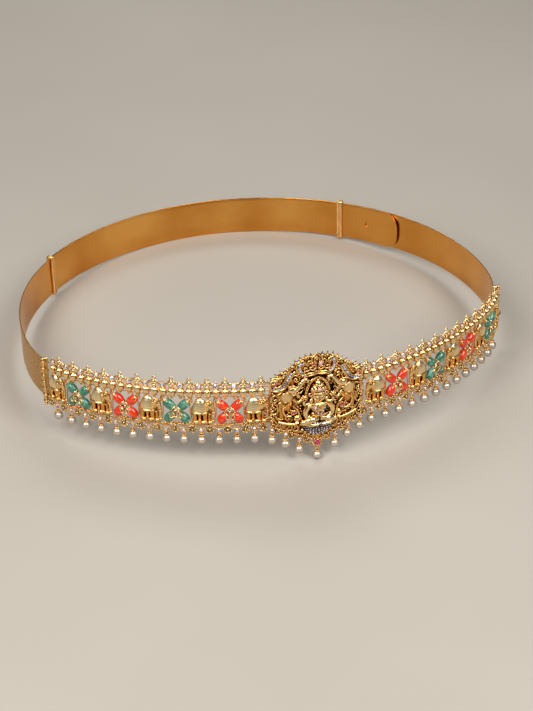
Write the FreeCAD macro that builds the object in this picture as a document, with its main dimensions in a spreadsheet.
"""Oddiyanam: a gold waist belt with an ornate front panel and an adjustable plain back.

The belt is a closed loop that stands on its lower edge. Two plain bands overlap at the back
and slide through two keepers. The front panel is openwork: a left and a right frame that
carry fluted gold beads, elephants and gem flowers, with pearls below, and a medallion between
them with a seated figure and two elephants.

Everything is built upright round the loop first. "Along" is a distance along the loop from the
middle of the front, positive to the right as seen from the front. "Out" is a distance outwards
from the loop's inner face. Heights are measured from the lower edge of the bands. At the end
the whole belt is leaned to the way it stands by itself, on the middle pearl and the back.
"""

import FreeCAD, Part
import Sketcher
import math
import os

from FreeCAD import Placement, Rotation, Vector

DIMENSIONS = [
    # Plan of the loop: three tangent arcs on each side
    ("front_radius", 165.7, "radius of the loop across the front"),
    ("front_turn", 43.3, "degrees turned by the front arc on each side"),
    ("corner_radius", 70.5, "radius of the tighter arcs at the sides"),
    ("corner_turn", 39.0, "degrees turned by each side arc"),
    # Bands and keepers
    ("band_width", 23.2, "height of the plain bands"),
    ("band_thick", 0.6, "thickness of the sheet"),
    ("slide_gap", 0.15, "clearance between pieces that slide or sit close"),
    ("tip_reach", 134.9, "from the middle of the back to the left band's rounded tip"),
    ("tip_corner", 9.0, "corner radius of the rounded tip"),
    ("tip_spring", 30.0, "length at the tip that springs inwards"),
    ("tip_radius", 105.0, "radius of that length"),
    ("hole_setback", 22.8, "from the tip to the middle of its hole"),
    ("hole_radius", 1.5, "radius of the hole"),
    ("left_keeper_reach", 119.7, "from the middle of the back to the left keeper"),
    ("right_keeper_reach", 92.7, "from the middle of the back to the right keeper"),
    ("keeper_width", 3.6, "width of a keeper along the belt"),
    ("keeper_wall", 0.9, "wall thickness of a keeper"),
    # Panel layout
    ("pitch", 9.2, "distance from crown tip to crown tip along the panel"),
    ("panel_end", 151.8, "from the middle of the front to the panel's end bar"),
    ("frame_start", 24.2, "from the middle of the front to the frame's first bar"),
    ("panel_out", 3.2, "middle of the panel's depth, out from the loop"),
    ("rail_depth", 1.2, "depth of the rails"),
    ("bar_width", 0.9, "width of the first bar"),
    ("end_bar_width", 1.9, "width of the end bar"),
    ("end_bar_depth", 3.9, "depth of the end bar"),
    ("end_bar_low", -1.2, "lower end of the end bar"),
    ("lower_rail_low", 3.0, "underside of the lower rail"),
    ("lower_rail_high", 4.8, "top of the lower rail"),
    ("upper_rail_low", 20.4, "underside of the rail below the fluted beads"),
    ("upper_rail_high", 21.0, "top of that rail"),
    ("crown_rail_low", 25.8, "underside of the rail above the fluted beads"),
    ("crown_rail_high", 26.4, "top of that rail"),
    ("wire_radius", 0.35, "radius of the posts and links"),
    ("joint_lap", 0.2, "how far posts and bars run into the rails"),
    # Fluted beads, crown tips and settings
    ("fluted_along", 28.5, "first fluted bead and first crown tip"),
    ("fluted_height", 23.4, "middle of the fluted beads"),
    ("fluted_radius", 2.15, "radius of a fluted bead"),
    ("thread_size", 0.5, "side of the thread through the fluted beads"),
    ("arch_wire", 0.45, "radius of the wire of a crown tip"),
    ("arch_height", 28.0, "middle of the arch of a crown tip"),
    ("arch_ring", 1.6, "radius of the arch of a crown tip"),
    ("tip_ring_height", 30.9, "middle of the small ring on a crown tip"),
    ("tip_ring", 0.7, "radius of that ring"),
    ("setting_height", 27.5, "middle of the upper diamond settings"),
    ("setting_radius", 1.55, "radius of the upper diamond settings"),
    ("setting_depth", 1.8, "depth of the settings"),
    ("foot_bead_height", 5.35, "middle of the small beads under the elephants"),
    ("foot_bead_radius", 0.95, "radius of those beads"),
    ("rosette_lead", 4.55, "from a rosette to the pearl after it"),
    ("rosette_height", 1.1, "middle of the rosettes"),
    ("rosette_radius", 2.2, "radius of a rosette"),
    ("drop_setting_height", 0.7, "middle of the diamond settings above the pearls"),
    ("drop_setting_radius", 1.2, "radius of those settings"),
    ("cap_high", -0.3, "top of a pearl cap"),
    ("cap_radius", 1.2, "radius of the mouth of a pearl cap"),
    # Pearls
    ("pearl_radius", 2.3, "radius of a pearl"),
    ("pearl_height", -5.5, "middle of the pearls along the panel"),
    ("left_pearl_along", 32.5, "first pearl of the left frame"),
    ("left_pearl_pitch", 9.2, "distance from pearl to pearl of the left frame"),
    ("right_pearl_along", 31.9, "first pearl of the right frame"),
    ("right_pearl_pitch", 8.95, "distance from pearl to pearl of the right frame"),
    ("pearl_seat", 0.15, "gap between a pearl and its cap"),
    # Flowers
    ("motif_shift", 1.5, "how far all flowers and elephants sit to the right of an even layout"),
    ("flower_along", 46.3, "middle of the first flower"),
    ("motif_pitch", 27.6, "from one flower or elephant to the next, three pearls"),
    ("flower_height", 12.0, "middle of the flowers"),
    ("gem_reach", 5.1, "from the middle of a flower to the middle of a gem bead"),
    ("gem_long", 3.7, "half the length of a gem bead"),
    ("gem_short", 2.5, "half the width of a gem bead"),
    ("gem_wire", 0.4, "radius of the wires that the gem beads are threaded on"),
    ("gem_wire_end", 0.1, "how far those wires come out of the beads"),
    ("post_spread", 7.25, "from a flower to the posts beside it"),
    ("link_spread", 4.4, "from a flower to the links above and below it"),
    # Elephants of the panel
    ("elephant_along", 32.5, "middle of the first elephant"),
    ("elephant_low", 6.5, "soles of the elephants"),
    ("elephant_half", 5.8, "half the length of an elephant"),
    ("sole_depth", 2.2, "depth of the sole under an elephant"),
    ("sole_height", 0.8, "height of that sole"),
    ("leg_radius", 1.0, "radius of an elephant's legs"),
    ("leg_height", 7.5, "height of those legs"),
    ("leg_stagger", 0.4, "how far the legs stand before and behind the middle"),
    ("trunk_tip", 0.6, "radius of a trunk at its tip"),
    ("trunk_root", 1.1, "radius of a trunk at the head"),
    ("trunk_height", 9.6, "length of a trunk"),
    ("tail_radius", 0.5, "radius of a tail"),
    ("tail_height", 7.2, "length of a tail"),
    # Medallion
    ("medallion_out", 5.2, "middle of the medallion's plate and pearls, out from the loop"),
    ("medallion_half", 24.6, "half the width of the medallion"),
    ("medallion_low", 2.6, "height of its lower corners"),
    ("medallion_point", -9.2, "height of its lowest point"),
    ("medallion_top", 42.3, "height of the crest"),
    ("crest_radius", 28.75, "radius of the crest's arch"),
    ("border", 4.2, "width of the medallion's scrolled border"),
    ("sill_high", 4.6, "top of the base that the figure sits on"),
    ("plate_depth", 1.6, "thickness of the medallion's plate"),
    ("ruby_height", -11.0, "middle of the ruby at the lowest point"),
    ("ruby_setting", 2.2, "radius of its setting"),
    ("seat_half", 8.6, "half the width of the figure's seat"),
    ("seat_depth", 5.2, "depth of the seat"),
    ("seat_height", 2.2, "height of the seat"),
    ("arm_wrist", 1.1, "radius of the figure's arm at the hand"),
    ("arm_shoulder", 1.5, "radius of the arm at the shoulder"),
    ("arm_height", 8.4, "length of the arm"),
    ("tusker_leg_radius", 1.3, "radius of the legs of the medallion's elephants"),
    ("tusker_leg_height", 12.0, "height of those legs"),
    ("tusker_trunk_root", 1.5, "radius of their trunks at the head"),
    ("tusker_trunk_tip", 0.8, "radius of their trunks at the tip"),
    ("tusker_trunk_length", 9.0, "length of their trunks"),
    ("canopy_radius", 2.2, "radius of the post behind the crest"),
    ("canopy_height", 10.0, "height of that post"),
    ("curl_ring", 2.9, "radius of the scroll at each shoulder"),
    ("curl_wire", 0.8, "radius of its wire"),
    ("stem_radius", 0.6, "radius of the stems that the medallion's pearls hang from"),
    ("stem_lap", 2.0, "how far those stems run up the plate"),
]

# The medallion's pearls: the middle one, and those right of it (along, height of their middles)
CENTRE_PEARL_HEIGHT = -18.9
MEDALLION_DROPS = [(9.6, -13.7), (16.8, -9.3), (23.8, -6.1)]

# Rounded forms: their middles (along, inwards, up), then half their length, width and depth, and
# how far the length leans from upright. The elephants look to the right, and their middles are
# taken from the middle of their soles. Those of the medallion are heights of the belt.
ELEPHANT_FORMS = {
    "back": {"middle": (-1.6, 0.0, 8.17), "halves": (4.2, 5.23, 2.3), "lean": 90.0},
    "head": {"middle": (3.3, -0.7, 9.0), "halves": (2.4, 3.3, 2.0), "lean": 90.0},
}
ELEPHANT_LEGS = [-4.4, -1.9, 0.7, 2.9]
ELEPHANT_TRUNK = {"along": 4.9, "inwards": -0.7, "above": 0.4}
ELEPHANT_TAIL = {"along": -5.7, "above": 1.5}
FIGURE_FORMS = {
    "crown": {"middle": (0.0, -1.6, 27.6), "halves": (5.0, 3.0, 1.9), "lean": 0.0},
    "head": {"middle": (0.0, -2.4, 21.3), "halves": (3.6, 3.0, 2.5), "lean": 0.0},
    "chest": {"middle": (0.0, -2.0, 13.8), "halves": (5.2, 5.2, 2.4), "lean": 0.0},
    "lap": {"middle": (0.0, -2.4, 6.3), "halves": (3.2, 7.6, 3.2), "lean": 0.0},
}
FIGURE_ARM = {"along": 5.2, "inwards": -2.0, "height": 7.5}
FIGURE_SEAT_FRONT = -4.8
TUSKER_FORMS = {
    "body": {"middle": (16.3, -1.4, 17.0), "halves": (6.4, 4.8, 2.2), "lean": -30.5},
    "head": {"middle": (12.3, -1.8, 23.8), "halves": (3.2, 2.8, 2.2), "lean": -38.0},
}
TUSKER_TRUNK = {"along": 11.5, "inwards": -1.8, "height": 24.0, "lean": -38.0}
TUSKER_LEGS = {"alongs": (14.2, 19.4), "inwards": -1.3, "height": 3.6}
CANOPY = {"inwards": -0.9, "height": 30.5}
CURL = {"along": 21.2, "inwards": -0.5, "height": 28.2}

FRAME_PEARLS = 13
FRAME_ROSETTES = 14
CROWN_TIPS = 13
FLUTED_BEADS = 26
FLOWERS = ["coral", "green", "coral", "green"]
ELEPHANTS = 5
SIDES = [("left", -1), ("right", 1)]

# Cutting tools reach this far past what they cut
THROUGH = 30.0

doc = FreeCAD.newDocument("waist_belt")
sheet = doc.addObject("Spreadsheet::Sheet", "dim")
for row, (alias, number, note) in enumerate(DIMENSIONS, start=1):
    sheet.set(f"A{row}", alias)
    sheet.set(f"B{row}", str(number))
    sheet.setAlias(f"B{row}", alias)
    sheet.set(f"C{row}", note)
doc.recompute()


def size(alias):
    """The value of one cell of the sheet."""
    return float(sheet.get(alias))


NAMES = {alias for alias, _, _ in DIMENSIONS}
NODES = []


# Plan of the loop, worked out from the sheet
FRONT_TURN = math.radians(size("front_turn"))
SIDE_TURN = FRONT_TURN + math.radians(size("corner_turn"))
FRONT_RADIUS = size("front_radius")
CORNER_RADIUS = size("corner_radius")
BACK_RADIUS = CORNER_RADIUS + (FRONT_RADIUS - CORNER_RADIUS) * math.sin(FRONT_TURN) / math.sin(SIDE_TURN)
TO_CORNER = Vector(math.sin(FRONT_TURN), -math.cos(FRONT_TURN), 0)
TO_BACK = Vector(math.sin(SIDE_TURN), -math.cos(SIDE_TURN), 0)
CORNER_CENTRE = TO_CORNER * (FRONT_RADIUS - CORNER_RADIUS)
BACK_CENTRE = CORNER_CENTRE + TO_BACK * (CORNER_RADIUS - BACK_RADIUS)
FRONT_LENGTH = FRONT_RADIUS * FRONT_TURN
SIDE_LENGTH = FRONT_LENGTH + CORNER_RADIUS * (SIDE_TURN - FRONT_TURN)
HALF_LENGTH = SIDE_LENGTH + BACK_RADIUS * (math.pi - SIDE_TURN)
MIRRORED_CORNER = Vector(-CORNER_CENTRE.x, CORNER_CENTRE.y, 0)

# Each stretch of the loop, anticlockwise from the middle of the front
STRETCHES = [
    {"centre": Vector(), "radius": FRONT_RADIUS, "turn": 0.0, "start": 0.0},
    {"centre": CORNER_CENTRE, "radius": CORNER_RADIUS, "turn": FRONT_TURN, "start": FRONT_LENGTH},
    {"centre": BACK_CENTRE, "radius": BACK_RADIUS, "turn": SIDE_TURN, "start": SIDE_LENGTH},
    {"centre": MIRRORED_CORNER, "radius": CORNER_RADIUS, "turn": 2 * math.pi - SIDE_TURN,
     "start": 2 * HALF_LENGTH - SIDE_LENGTH},
    {"centre": Vector(), "radius": FRONT_RADIUS, "turn": 2 * math.pi - FRONT_TURN,
     "start": 2 * HALF_LENGTH - FRONT_LENGTH},
]


def stretch_at(along):
    """The stretch of the loop that holds a distance, and that distance counted anticlockwise."""
    around = along % (2 * HALF_LENGTH)
    for stretch in reversed(STRETCHES):
        if around >= stretch["start"]:
            return stretch, around


def station(along, out=0.0, height=0.0):
    """A place on the loop: X runs along the belt, Y points inwards and Z up."""
    stretch, around = stretch_at(along)
    turn = stretch["turn"] + (around - stretch["start"]) / stretch["radius"]
    reach = stretch["radius"] + out
    point = stretch["centre"] + Vector(math.sin(turn), -math.cos(turn), 0) * reach
    return Placement(Vector(point.x, point.y, height), Rotation(Vector(0, 0, 1), math.degrees(turn)))


def motif(first, sign, number):
    """How far along a flower or an elephant stands: first names the first one's distance."""
    return sign * (size(first) + number * size("motif_pitch")) + size("motif_shift")


def pearl_along(side, number):
    """How far a pearl of a frame hangs from the middle of the front."""
    return size(f"{side}_pearl_along") + number * size(f"{side}_pearl_pitch")


def bind(piece, sizes):
    """Binds a piece's sizes to the sheet, or sets them where they are plain numbers."""
    for name, rule in sizes.items():
        if isinstance(rule, str):
            piece.setExpression(name, rule)
        else:
            setattr(piece, name, rule)
    return piece


def primitive(kind, name, place, **sizes):
    """A primitive solid at a place, with its sizes bound to the sheet."""
    piece = bind(doc.addObject(f"Part::{kind}", name), sizes)
    piece.Placement = place
    return piece


def local(place, x=0.0, y=0.0, z=0.0, axis=None, angle=0.0):
    """A place given from another place, turned about an axis."""
    turn = Rotation(axis, angle) if axis else Rotation()
    return place.multiply(Placement(Vector(x, y, z), turn))


X_AXIS = Vector(1, 0, 0)
Y_AXIS = Vector(0, 1, 0)
Z_AXIS = Vector(0, 0, 1)


def outwards(name, place, depth, **sizes):
    """A cylinder whose axis points out of the belt, centred on a place."""
    half = size(depth) / 2
    start = local(place, y=half, axis=X_AXIS, angle=90)
    return primitive("Cylinder", name, start, Height=f"dim.{depth}", **sizes)


def upright(name, place, low, high, radius="dim.wire_radius"):
    """A round post between two heights."""
    start = Placement(Vector(place.Base.x, place.Base.y, low), place.Rotation)
    return primitive("Cylinder", name, start, Radius=radius, Height=high - low)


def cut(name, base, tool):
    """One piece less another."""
    piece = doc.addObject("Part::Cut", name)
    piece.Base = base
    piece.Tool = tool
    return piece


def common(name, base, tool):
    """What two pieces share."""
    piece = doc.addObject("Part::Common", name)
    piece.Base = base
    piece.Tool = tool
    return piece


def solder(name, parts):
    """Many pieces joined into one solid."""
    piece = doc.addObject("Part::MultiFuse", name)
    piece.Shapes = parts
    piece.Refine = False
    return piece


def rule(text):
    """The expression for an alias, or the text itself where it already is one."""
    return f"dim.{text}" if text in NAMES else f"({text})"


def sector(name, centre, radius, turn, sweep, inner, outer, low, high):
    """A curved strip about a centre: inner and outer are rules for its distances out from the
    loop, low and high are rules for its heights, and the turns are in radians."""
    base = size(low) if low in NAMES else float(low)
    start = Placement(Vector(centre.x, centre.y, base), Rotation(Z_AXIS, math.degrees(turn) - 90))
    rise = f"{rule(high)} - ({rule(low)})"
    solid = primitive("Cylinder", f"{name}_outer", start, Height=rise, Angle=math.degrees(sweep),
                      Radius=f"{radius} + {rule(outer)}")
    below = Placement(Vector(centre.x, centre.y, base - 1), Rotation())
    core = primitive("Cylinder", f"{name}_core", below, Height=f"{rise} + 2",
                     Radius=f"{radius} + {rule(inner)}")
    return cut(name, solid, core)


def strip(name, start, end, inner, outer, low, high):
    """Curved strips that follow the loop anticlockwise from one distance to another."""
    begin = start % (2 * HALF_LENGTH)
    finish = begin + (end - start)
    parts = []
    for number, stretch in enumerate(STRETCHES):
        after = STRETCHES[number + 1]["start"] if number + 1 < len(STRETCHES) else 2 * HALF_LENGTH
        first = max(begin, stretch["start"])
        last = min(finish, after)
        if last - first < 0.01:
            continue
        turn = stretch["turn"] + (first - stretch["start"]) / stretch["radius"]
        sweep = (last - first) / stretch["radius"]
        parts.append(sector(f"{name}_{number}", stretch["centre"], stretch["radius"], turn, sweep,
                            inner, outer, low, high))
    return parts


def finished(piece, label):
    """Gives a finished piece its own label and puts it on the list."""
    piece.Label = label
    NODES.append(piece)
    return piece


def left_band():
    """The inner band: from the panel's left end round the back to its rounded tip."""
    bar = size("panel_end") + size("end_bar_width") / 2 + size("slide_gap")
    bend = size("tip_reach") - size("tip_spring")
    start = HALF_LENGTH - bend
    parts = strip("left_band_strip", start, 2 * HALF_LENGTH - bar, "0", "band_thick", "0", "band_width")
    # The last stretch has a tighter radius, so that the tip springs away from the outer band
    tangent = SIDE_TURN + (start - SIDE_LENGTH) / BACK_RADIUS
    inwards = Vector(-math.sin(tangent), math.cos(tangent), 0)
    centre = BACK_CENTRE + Vector(math.sin(tangent), -math.cos(tangent), 0) * BACK_RADIUS
    centre = centre + inwards * size("tip_radius")
    sweep = size("tip_spring") / size("tip_radius")
    tip = sector("left_band_tip", centre, size("tip_radius"), tangent - sweep, sweep,
                 "0", "band_thick", "0", "band_width")
    rounded = doc.addObject("Part::Fillet", "left_band_rounded")
    rounded.Base = tip
    doc.recompute()
    edge_length = size("band_thick")
    end = centre + Vector(math.sin(tangent - sweep), -math.cos(tangent - sweep), 0) * size("tip_radius")
    corners = []
    for number, edge in enumerate(tip.Shape.Edges, start=1):
        near = abs(edge.Length - edge_length) < 0.01 and edge.CenterOfMass.distanceToPoint(
            Vector(end.x, end.y, edge.CenterOfMass.z)) < 1
        if near and abs(edge.Vertexes[0].Z - edge.Vertexes[-1].Z) < 0.01:
            corners.append((number, size("tip_corner"), size("tip_corner")))
    rounded.Edges = corners
    hole_turn = tangent - sweep + size("hole_setback") / size("tip_radius")
    hole_place = centre + Vector(math.sin(hole_turn), -math.cos(hole_turn), 0) * size("tip_radius")
    place = Placement(Vector(hole_place.x, hole_place.y, size("band_width") / 2),
                      Rotation(Z_AXIS, math.degrees(hole_turn)))
    drill = primitive("Cylinder", "tip_hole", local(place, y=2, axis=X_AXIS, angle=90),
                      Radius="dim.hole_radius", Height=4)
    whole = solder("left_band_whole", [rounded] + parts)
    finished(cut("left_band", whole, drill), "band_left")


def right_band():
    """The outer band: from the panel's right end round the back to the left keeper."""
    bar = size("panel_end") + size("end_bar_width") / 2 + size("slide_gap")
    end = HALF_LENGTH + size("left_keeper_reach") + size("keeper_width") / 2
    inner = "band_thick + dim.slide_gap"
    parts = strip("right_band_strip", bar, end, f"dim.{inner}", f"dim.{inner} + dim.band_thick",
                  "0", "band_width")
    finished(solder("right_band", parts), "band_right")


def origin_plane(body, role):
    """One of a body's own origin planes."""
    return [plane for plane in body.Origin.OriginFeatures if plane.Role == role][0]


def rectangle(sketch, name, depth, low, high, near):
    """Four constrained lines: depth wide from near outwards, and from low to high."""
    first = sketch.GeometryCount
    corners = [Vector(0, 0, 0), Vector(1, 0, 0), Vector(1, 1, 0), Vector(0, 1, 0)]
    for number in range(4):
        sketch.addGeometry(Part.LineSegment(corners[number], corners[(number + 1) % 4]))
    for number in range(4):
        after = first + (number + 1) % 4
        sketch.addConstraint(Sketcher.Constraint("Coincident", first + number, 2, after, 1))
    for number in (0, 2):
        sketch.addConstraint(Sketcher.Constraint("Horizontal", first + number))
    for number in (1, 3):
        sketch.addConstraint(Sketcher.Constraint("Vertical", first + number))
    origin = (-1, 1)
    measures = [
        ("near", "DistanceX", (*origin, first, 1), near),
        ("far", "DistanceX", (*origin, first + 1, 1), f"{near} + {depth}"),
        ("low", "DistanceY", (*origin, first, 1), low),
        ("high", "DistanceY", (*origin, first + 2, 1), high),
    ]
    for side, kind, points, expression in measures:
        index = sketch.addConstraint(Sketcher.Constraint(kind, *points, 1.0))
        sketch.renameConstraint(index, f"{name}_{side}")
        sketch.setExpression(f"Constraints.{name}_{side}", expression)


def keeper(side, along):
    """A flat loop round both bands: a rectangle with a window, padded along the belt."""
    body = doc.addObject("PartDesign::Body", f"keeper_{side}_body")
    sketch = body.newObject("Sketcher::SketchObject", f"keeper_{side}_section")
    sketch.AttachmentSupport = (origin_plane(body, "YZ_Plane"), [""])
    sketch.MapMode = "FlatFace"
    doc.recompute()
    window = "(2 * dim.band_thick + 3 * dim.slide_gap)"
    rectangle(sketch, "window", window, "-dim.slide_gap", "dim.band_width + dim.slide_gap",
              f"dim.slide_gap - {window}")
    rectangle(sketch, "rim", f"({window} + 2 * dim.keeper_wall)", "-dim.slide_gap - dim.keeper_wall",
              "dim.band_width + dim.slide_gap + dim.keeper_wall",
              f"dim.slide_gap - {window} - dim.keeper_wall")
    pad = body.newObject("PartDesign::Pad", f"keeper_{side}_pad")
    pad.Profile = sketch
    pad.Midplane = True
    pad.setExpression("Length", "dim.keeper_width")
    doc.recompute()
    finished(body, f"keeper_{side}")
    body.Placement = station(along)


def drop(name, along, out, pearl_height, parts):
    """The gold of one hanging pearl: a link, a diamond setting and a cap."""
    place = station(along, size(out))
    lift = pearl_height - size("pearl_height")
    setting = local(place, z=size("drop_setting_height") + lift)
    parts.append(outwards(f"{name}_setting", setting, "setting_depth", Radius="dim.drop_setting_radius"))
    link_low = size("drop_setting_height") + lift
    link_high = size("lower_rail_low") + lift + 2 * size("joint_lap")
    parts.append(upright(f"{name}_link", place, link_low, link_high))
    mouth = pearl_height + size("pearl_radius") + size("pearl_seat")
    rise = size("cap_high") + lift - mouth
    parts.append(primitive("Cone", f"{name}_cap", local(place, z=mouth), Radius1="dim.cap_radius",
                           Radius2="dim.cap_radius / 2", Height=rise))


def crown_tip(name, along, parts):
    """An arch with a small ring on top, standing on the crown rail."""
    place = station(along, size("panel_out"))
    arch = local(place, z=size("arch_height"), axis=X_AXIS, angle=90)
    parts.append(primitive("Torus", f"{name}_arch", arch, Radius1="dim.arch_ring",
                           Radius2="dim.arch_wire"))
    ring = local(place, z=size("tip_ring_height"), axis=X_AXIS, angle=90)
    parts.append(primitive("Torus", f"{name}_ring", ring, Radius1="dim.tip_ring",
                           Radius2="dim.wire_radius"))


def frame_posts(name, sign, parts):
    """The posts beside each flower, and the short links above and below its gem beads."""
    gem_tip = size("gem_reach") + math.hypot(size("gem_long"), size("gem_short"))
    gem_top = size("flower_height") + gem_tip * math.sqrt(0.5)
    gem_bottom = 2 * size("flower_height") - gem_top
    rail_high = size("upper_rail_high") - size("joint_lap")
    rail_low = size("lower_rail_low") + size("joint_lap")
    for number in range(len(FLOWERS)):
        middle = motif("flower_along", sign, number)
        for hand in (-1, 1):
            post = station(middle + hand * size("post_spread"), size("panel_out"))
            parts.append(upright(f"{name}_post_{number}_{hand + 1}", post, rail_low, rail_high))
            link = station(middle + hand * size("link_spread"), size("panel_out"))
            parts.append(upright(f"{name}_high_link_{number}_{hand + 1}", link,
                                 gem_top + size("slide_gap"), rail_high))
            parts.append(upright(f"{name}_low_link_{number}_{hand + 1}", link,
                                 rail_low, gem_bottom - size("slide_gap")))


def panel_frame(side, sign):
    """The soldered gold of one half of the panel: rails, bars, posts, crown, settings and caps."""
    name = f"frame_{side}"
    near = size("frame_start")
    far = size("panel_end")
    start, end = (near, far) if sign > 0 else (-far, -near)
    inner = "dim.panel_out - dim.rail_depth / 2"
    outer = "dim.panel_out + dim.rail_depth / 2"
    parts = []
    for rail in ("lower_rail", "upper_rail", "crown_rail"):
        parts += strip(f"{name}_{rail}", start, end, inner, outer, f"{rail}_low", f"{rail}_high")
    lap = size("joint_lap")
    bar = local(station(sign * near, size("panel_out")), x=-size("bar_width") / 2,
                y=-size("rail_depth") / 2 - lap / 2, z=size("lower_rail_low") - lap)
    parts.append(primitive("Box", f"{name}_first_bar", bar, Length="dim.bar_width",
                           Width="dim.rail_depth + dim.joint_lap",
                           Height="dim.crown_rail_high - dim.lower_rail_low + 2 * dim.joint_lap"))
    end_bar = local(station(sign * far), x=-size("end_bar_width") / 2,
                    y=-size("panel_out") - size("rail_depth"), z=size("end_bar_low"))
    parts.append(primitive("Box", f"{name}_end_bar", end_bar, Length="dim.end_bar_width",
                           Width="dim.end_bar_depth",
                           Height="dim.crown_rail_high - dim.end_bar_low + dim.joint_lap"))
    for number in range(CROWN_TIPS):
        along = size("fluted_along") + number * size("pitch")
        crown_tip(f"{name}_tip_{number}", sign * along, parts)
        setting = station(sign * (along + size("pitch") / 2), size("panel_out"), size("setting_height"))
        parts.append(outwards(f"{name}_setting_{number}", setting, "setting_depth",
                              Radius="dim.setting_radius"))
    for number in range(FRAME_ROSETTES):
        along = pearl_along(side, number) - size("rosette_lead")
        place = station(sign * along, size("panel_out"), size("rosette_height"))
        parts.append(outwards(f"{name}_rosette_{number}", place, "rail_depth", Radius="dim.rosette_radius"))
    for number in range(FRAME_PEARLS):
        along = sign * pearl_along(side, number)
        drop(f"{name}_drop_{number}", along, "panel_out", size("pearl_height"), parts)
    for number in range(ELEPHANTS):
        middle = motif("elephant_along", sign, number)
        for step in (-1, 0, 1):
            along = middle + step * size("pitch") / 2
            place = station(along, size("panel_out"), size("foot_bead_height"))
            parts.append(outwards(f"{name}_foot_bead_{number}_{step + 1}", place, "setting_depth",
                                  Radius="dim.foot_bead_radius"))
    frame_posts(name, sign, parts)
    finished(solder(name, parts), f"panel_frame_{side}")


def fluted_beads(side, sign):
    """The row of fluted beads of one half, joined along their thread. Each bead's poles lie
    on the thread."""
    name = f"fluted_{side}"
    gap = size("slide_gap")
    near = size("frame_start") + size("bar_width") / 2 + gap
    far = size("panel_end") - size("end_bar_width") / 2 - gap
    start, end = (near, far) if sign > 0 else (-far, -near)
    half = size("thread_size") / 2
    middle = size("fluted_height")
    parts = strip(f"{name}_thread", start, end, "dim.panel_out - dim.thread_size / 2",
                  "dim.panel_out + dim.thread_size / 2", f"{middle - half}", f"{middle + half}")
    for number in range(FLUTED_BEADS):
        along = size("fluted_along") + number * size("pitch") / 2
        place = local(station(sign * along, size("panel_out"), middle), axis=Y_AXIS, angle=90)
        parts.append(primitive("Sphere", f"{name}_bead_{number}", place, Radius="dim.fluted_radius"))
    finished(solder(name, parts), f"fluted_beads_{side}")


def gem_flower(side, sign, number, stone):
    """Four gem beads set crosswise, joined by the two wires that they are threaded on."""
    along = motif("flower_along", sign, number)
    place = station(along, size("panel_out"), size("flower_height"))
    name = f"{stone}_{side}_{number}"
    parts = []
    reach = size("gem_reach") + size("gem_long") + size("gem_wire_end")
    for quarter in range(4):
        angle = 45 + 90 * quarter
        bead = local(local(place, axis=Y_AXIS, angle=angle), z=size("gem_reach"))
        parts.append(primitive("Ellipsoid", f"{name}_bead_{quarter}", bead, Radius1="dim.gem_long",
                               Radius2="dim.gem_short", Radius3="dim.gem_short",
                               Angle1=-90, Angle2=90, Angle3=360))
    for diagonal in (45, 135):
        wire = local(local(place, axis=Y_AXIS, angle=diagonal), z=-reach)
        parts.append(primitive("Cylinder", f"{name}_wire_{diagonal}", wire, Radius="dim.gem_wire",
                               Height=2 * reach))
    finished(solder(name, parts), f"{stone}_flower_{side}_{number + 1}")


def rounded_forms(name, place, forms, face, parts):
    """Egg shapes that make up a figure. Face is 1 where it looks right and -1 where it looks
    left. Each one's two poles are always inside the pieces that it joins."""
    for label, form in forms.items():
        along, inwards, up = form["middle"]
        middle = local(local(place, along * face, inwards, up), axis=Y_AXIS, angle=form["lean"] * face)
        long_half, across_half, depth_half = form["halves"]
        parts.append(primitive("Ellipsoid", f"{name}_{label}", middle, Radius1=long_half,
                               Radius2=across_half, Radius3=depth_half, Angle1=-90, Angle2=90,
                               Angle3=360))


def panel_elephant(side, sign, number):
    """An elephant that faces the medallion: domed back, head, trunk and legs on a sole."""
    along = motif("elephant_along", sign, number)
    place = station(along, size("panel_out"), size("elephant_low"))
    face = -sign
    name = f"elephant_{side}_{number}"
    parts = []
    rounded_forms(name, place, ELEPHANT_FORMS, face, parts)
    trunk = local(place, x=ELEPHANT_TRUNK["along"] * face, y=ELEPHANT_TRUNK["inwards"],
                  z=ELEPHANT_TRUNK["above"])
    parts.append(primitive("Cone", f"{name}_trunk", trunk, Radius1="dim.trunk_tip",
                           Radius2="dim.trunk_root", Height="dim.trunk_height"))
    tail = local(place, x=ELEPHANT_TAIL["along"] * face, z=ELEPHANT_TAIL["above"])
    parts.append(primitive("Cylinder", f"{name}_tail", tail, Radius="dim.tail_radius",
                           Height="dim.tail_height"))
    for leg, shift in enumerate(ELEPHANT_LEGS):
        post = local(place, x=shift * face, y=size("leg_stagger") * (-1) ** leg)
        parts.append(primitive("Cylinder", f"{name}_leg_{leg}", post, Radius="dim.leg_radius",
                               Height="dim.leg_height"))
    sole = local(place, x=-size("elephant_half"), y=-size("sole_depth") / 2)
    parts.append(primitive("Box", f"{name}_sole", sole, Length="2 * dim.elephant_half",
                           Width="dim.sole_depth", Height="dim.sole_height"))
    finished(solder(name, parts), f"elephant_{side}_{number + 1}")


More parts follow.
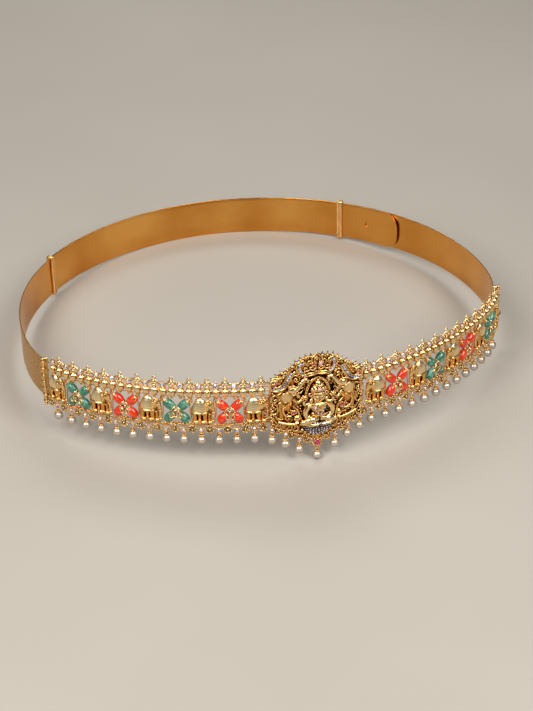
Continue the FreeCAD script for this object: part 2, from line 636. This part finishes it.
def medallion_plate(parts):
    """The curved openwork plate: an arched outline, cut out inside its border."""
    middle = station(0.0)
    half = size("medallion_half")
    low = size("medallion_low")
    lap = size("joint_lap")
    centre_height = size("medallion_top") - size("crest_radius")
    solids = []
    for layer, inset in (("outline", "0"), ("window", "dim.border")):
        disc = primitive("Cylinder", f"medallion_{layer}_disc",
                         local(middle, y=THROUGH / 2, z=centre_height, axis=X_AXIS, angle=90),
                         Radius=f"dim.crest_radius - {inset}", Height=THROUGH)
        margin = size("border") if layer == "window" else 0.0
        floor = size("sill_high") if layer == "window" else low
        box = primitive("Box", f"medallion_{layer}_box",
                        local(middle, x=-half + margin, y=-THROUGH / 2, z=floor),
                        Length=f"2 * (dim.medallion_half - {inset})", Width=THROUGH,
                        Height="dim.medallion_top")
        solids.append(common(f"medallion_{layer}", disc, box))
    skirt = primitive("Wedge", "medallion_skirt",
                      local(middle, x=-half, y=-THROUGH / 2, z=low + lap, axis=X_AXIS, angle=-90),
                      Xmin=0, Ymin=0, Zmin=0, X2min="dim.medallion_half", Z2min=0,
                      Xmax="2 * dim.medallion_half",
                      Ymax="dim.medallion_low + dim.joint_lap - dim.medallion_point",
                      Zmax=THROUGH, X2max="dim.medallion_half", Z2max=THROUGH)
    whole = solder("medallion_prism", [solids[0], skirt])
    open_prism = cut("medallion_open_prism", whole, solids[1])
    turn = (half + size("border")) / FRONT_RADIUS
    curved = sector("medallion_shell", Vector(), FRONT_RADIUS, -turn, 2 * turn,
                    "dim.medallion_out - dim.plate_depth / 2",
                    "dim.medallion_out + dim.plate_depth / 2", f"{-THROUGH}", f"{2 * THROUGH}")
    parts.append(common("medallion_plate", open_prism, curved))


def seated_figure(place, parts):
    """A crowned figure that sits with crossed legs on the sill, made of rounded forms."""
    rounded_forms("figure", place, FIGURE_FORMS, 1, parts)
    for side, sign in SIDES:
        arm = local(place, x=FIGURE_ARM["along"] * sign, y=FIGURE_ARM["inwards"], z=FIGURE_ARM["height"])
        parts.append(primitive("Cone", f"figure_arm_{side}", arm, Radius1="dim.arm_wrist",
                               Radius2="dim.arm_shoulder", Height="dim.arm_height"))
    seat = local(place, x=-size("seat_half"), y=FIGURE_SEAT_FRONT,
                 z=size("sill_high") - size("seat_height"))
    parts.append(primitive("Box", "figure_seat", seat, Length="2 * dim.seat_half",
                           Width="dim.seat_depth", Height="dim.seat_height"))


def medallion_elephant(place, side, sign, parts):
    """An elephant beside the figure, its trunk raised towards the arch."""
    name = f"{side}_tusker"
    rounded_forms(name, place, TUSKER_FORMS, sign, parts)
    root = local(place, x=TUSKER_TRUNK["along"] * sign, y=TUSKER_TRUNK["inwards"],
                 z=TUSKER_TRUNK["height"])
    trunk = local(root, axis=Y_AXIS, angle=TUSKER_TRUNK["lean"] * sign)
    parts.append(primitive("Cone", f"{name}_trunk", trunk, Radius1="dim.tusker_trunk_root",
                           Radius2="dim.tusker_trunk_tip", Height="dim.tusker_trunk_length"))
    for leg, shift in enumerate(TUSKER_LEGS["alongs"]):
        post = local(place, x=shift * sign, y=TUSKER_LEGS["inwards"], z=TUSKER_LEGS["height"])
        parts.append(primitive("Cylinder", f"{name}_leg_{leg}", post, Radius="dim.tusker_leg_radius",
                               Height="dim.tusker_leg_height"))


def medallion_drops(parts):
    """What the medallion's pearls hang from: the ruby's setting in the middle, and a stem, a
    setting and a cap for each of the others."""
    middle = station(0.0, size("medallion_out"))
    ruby = local(middle, z=size("ruby_height"))
    parts.append(outwards("ruby_setting", ruby, "setting_depth", Radius="dim.ruby_setting"))
    mouth = CENTRE_PEARL_HEIGHT + size("pearl_radius") + size("pearl_seat")
    rise = size("ruby_height") - size("ruby_setting") + size("joint_lap") - mouth
    parts.append(primitive("Cone", "centre_cap", local(middle, z=mouth), Radius1="dim.cap_radius",
                           Radius2="dim.cap_radius / 2", Height=rise))
    slope = (size("medallion_low") - size("medallion_point")) / size("medallion_half")
    for number, (distance, height) in enumerate(MEDALLION_DROPS, start=1):
        for side, sign in SIDES:
            name = f"medallion_drop_{side}_{number}"
            drop(name, sign * distance, "medallion_out", height, parts)
            low = size("lower_rail_low") + height - size("pearl_height")
            edge = size("medallion_point") + slope * distance
            top = station(sign * distance, size("medallion_out"))
            parts.append(upright(f"{name}_stem", top, low, edge + size("stem_lap"),
                                 radius="dim.stem_radius"))


def medallion():
    """The soldered centrepiece: plate, figure, elephants, ruby setting and pearl caps."""
    parts = []
    medallion_plate(parts)
    place = station(0.0, size("medallion_out"))
    seated_figure(place, parts)
    canopy = local(place, y=CANOPY["inwards"], z=CANOPY["height"])
    parts.append(primitive("Cylinder", "medallion_canopy", canopy, Radius="dim.canopy_radius",
                           Height="dim.canopy_height"))
    for side, sign in SIDES:
        medallion_elephant(place, side, sign, parts)
        curl = local(station(CURL["along"] * sign, size("medallion_out")), y=CURL["inwards"],
                     z=CURL["height"], axis=X_AXIS, angle=90)
        parts.append(primitive("Torus", f"medallion_curl_{side}", curl, Radius1="dim.curl_ring",
                               Radius2="dim.curl_wire"))
    medallion_drops(parts)
    finished(solder("medallion_solid", parts), "medallion")


def pearls():
    """Every pearl is a piece of its own, just below its cap."""
    places = [("centre", 0.0, CENTRE_PEARL_HEIGHT, "medallion_out")]
    for side, sign in SIDES:
        rows = [(along, height, "medallion_out") for along, height in MEDALLION_DROPS]
        for number in range(FRAME_PEARLS):
            rows.append((pearl_along(side, number), size("pearl_height"), "panel_out"))
        for number, (along, height, out) in enumerate(rows, start=1):
            places.append((f"{side}_{number}", sign * along, height, out))
    for name, along, height, out in places:
        piece = primitive("Sphere", f"pearl_{name}_ball", station(along, size(out), height),
                          Radius="dim.pearl_radius")
        finished(piece, f"pearl_{name}")


def rest_place():
    """How the belt stands by itself: on the middle pearl and on the back of the outer band."""
    pearl_y = station(0.0, size("medallion_out")).Base.y
    back_y = station(HALF_LENGTH, 2 * size("band_thick") + size("slide_gap")).Base.y
    reach = math.hypot(back_y - pearl_y, CENTRE_PEARL_HEIGHT)
    lean = (math.asin(size("pearl_radius") / reach)
            + math.atan2(-CENTRE_PEARL_HEIGHT, back_y - pearl_y))
    return Placement(Vector(), Rotation(X_AXIS, -math.degrees(lean)))


def check():
    """Stops if any object failed or any piece is not one sound solid."""
    for item in doc.Objects:
        if "Invalid" in item.State or "Error" in item.State:
            raise RuntimeError(f"{item.Label} did not compute: {item.State}")
    for piece in NODES:
        shape = piece.Shape
        if shape.isNull() or not shape.isValid() or len(shape.Solids) != 1:
            raise RuntimeError(f"{piece.Label} is not one sound solid: {len(shape.Solids)}")


def stand_and_export():
    """Leans the belt as it stands, puts its middle over the origin and writes every piece."""
    lean = rest_place()
    box = FreeCAD.BoundBox()
    for piece in NODES:
        piece.Placement = lean.multiply(piece.Placement)
        box.add(piece.Shape.BoundBox)
    shift = Placement(Vector(-box.Center.x, -box.Center.y, -box.ZMin), Rotation())
    os.makedirs("parts", exist_ok=True)
    total = 0.0
    for piece in NODES:
        piece.Placement = shift.multiply(piece.Placement)
        piece.Shape.exportStep(f"parts/{piece.Label}.step")
        total += piece.Shape.Volume
    print(f"{len(NODES)} pieces, box {box.XLength:.1f} x {box.YLength:.1f} x {box.ZLength:.1f} mm")
    print(f"volume {total:.0f} cubic mm, half of the loop {HALF_LENGTH:.1f} mm")


left_band()
right_band()
keeper("left", -(HALF_LENGTH - size("left_keeper_reach")))
keeper("right", HALF_LENGTH - size("right_keeper_reach"))
for hand, direction in SIDES:
    panel_frame(hand, direction)
    fluted_beads(hand, direction)
    for count, gem in enumerate(FLOWERS):
        gem_flower(hand, direction, count, gem)
    for count in range(ELEPHANTS):
        panel_elephant(hand, direction, count)
medallion()
pearls()
doc.recompute()
check()
stand_and_export()
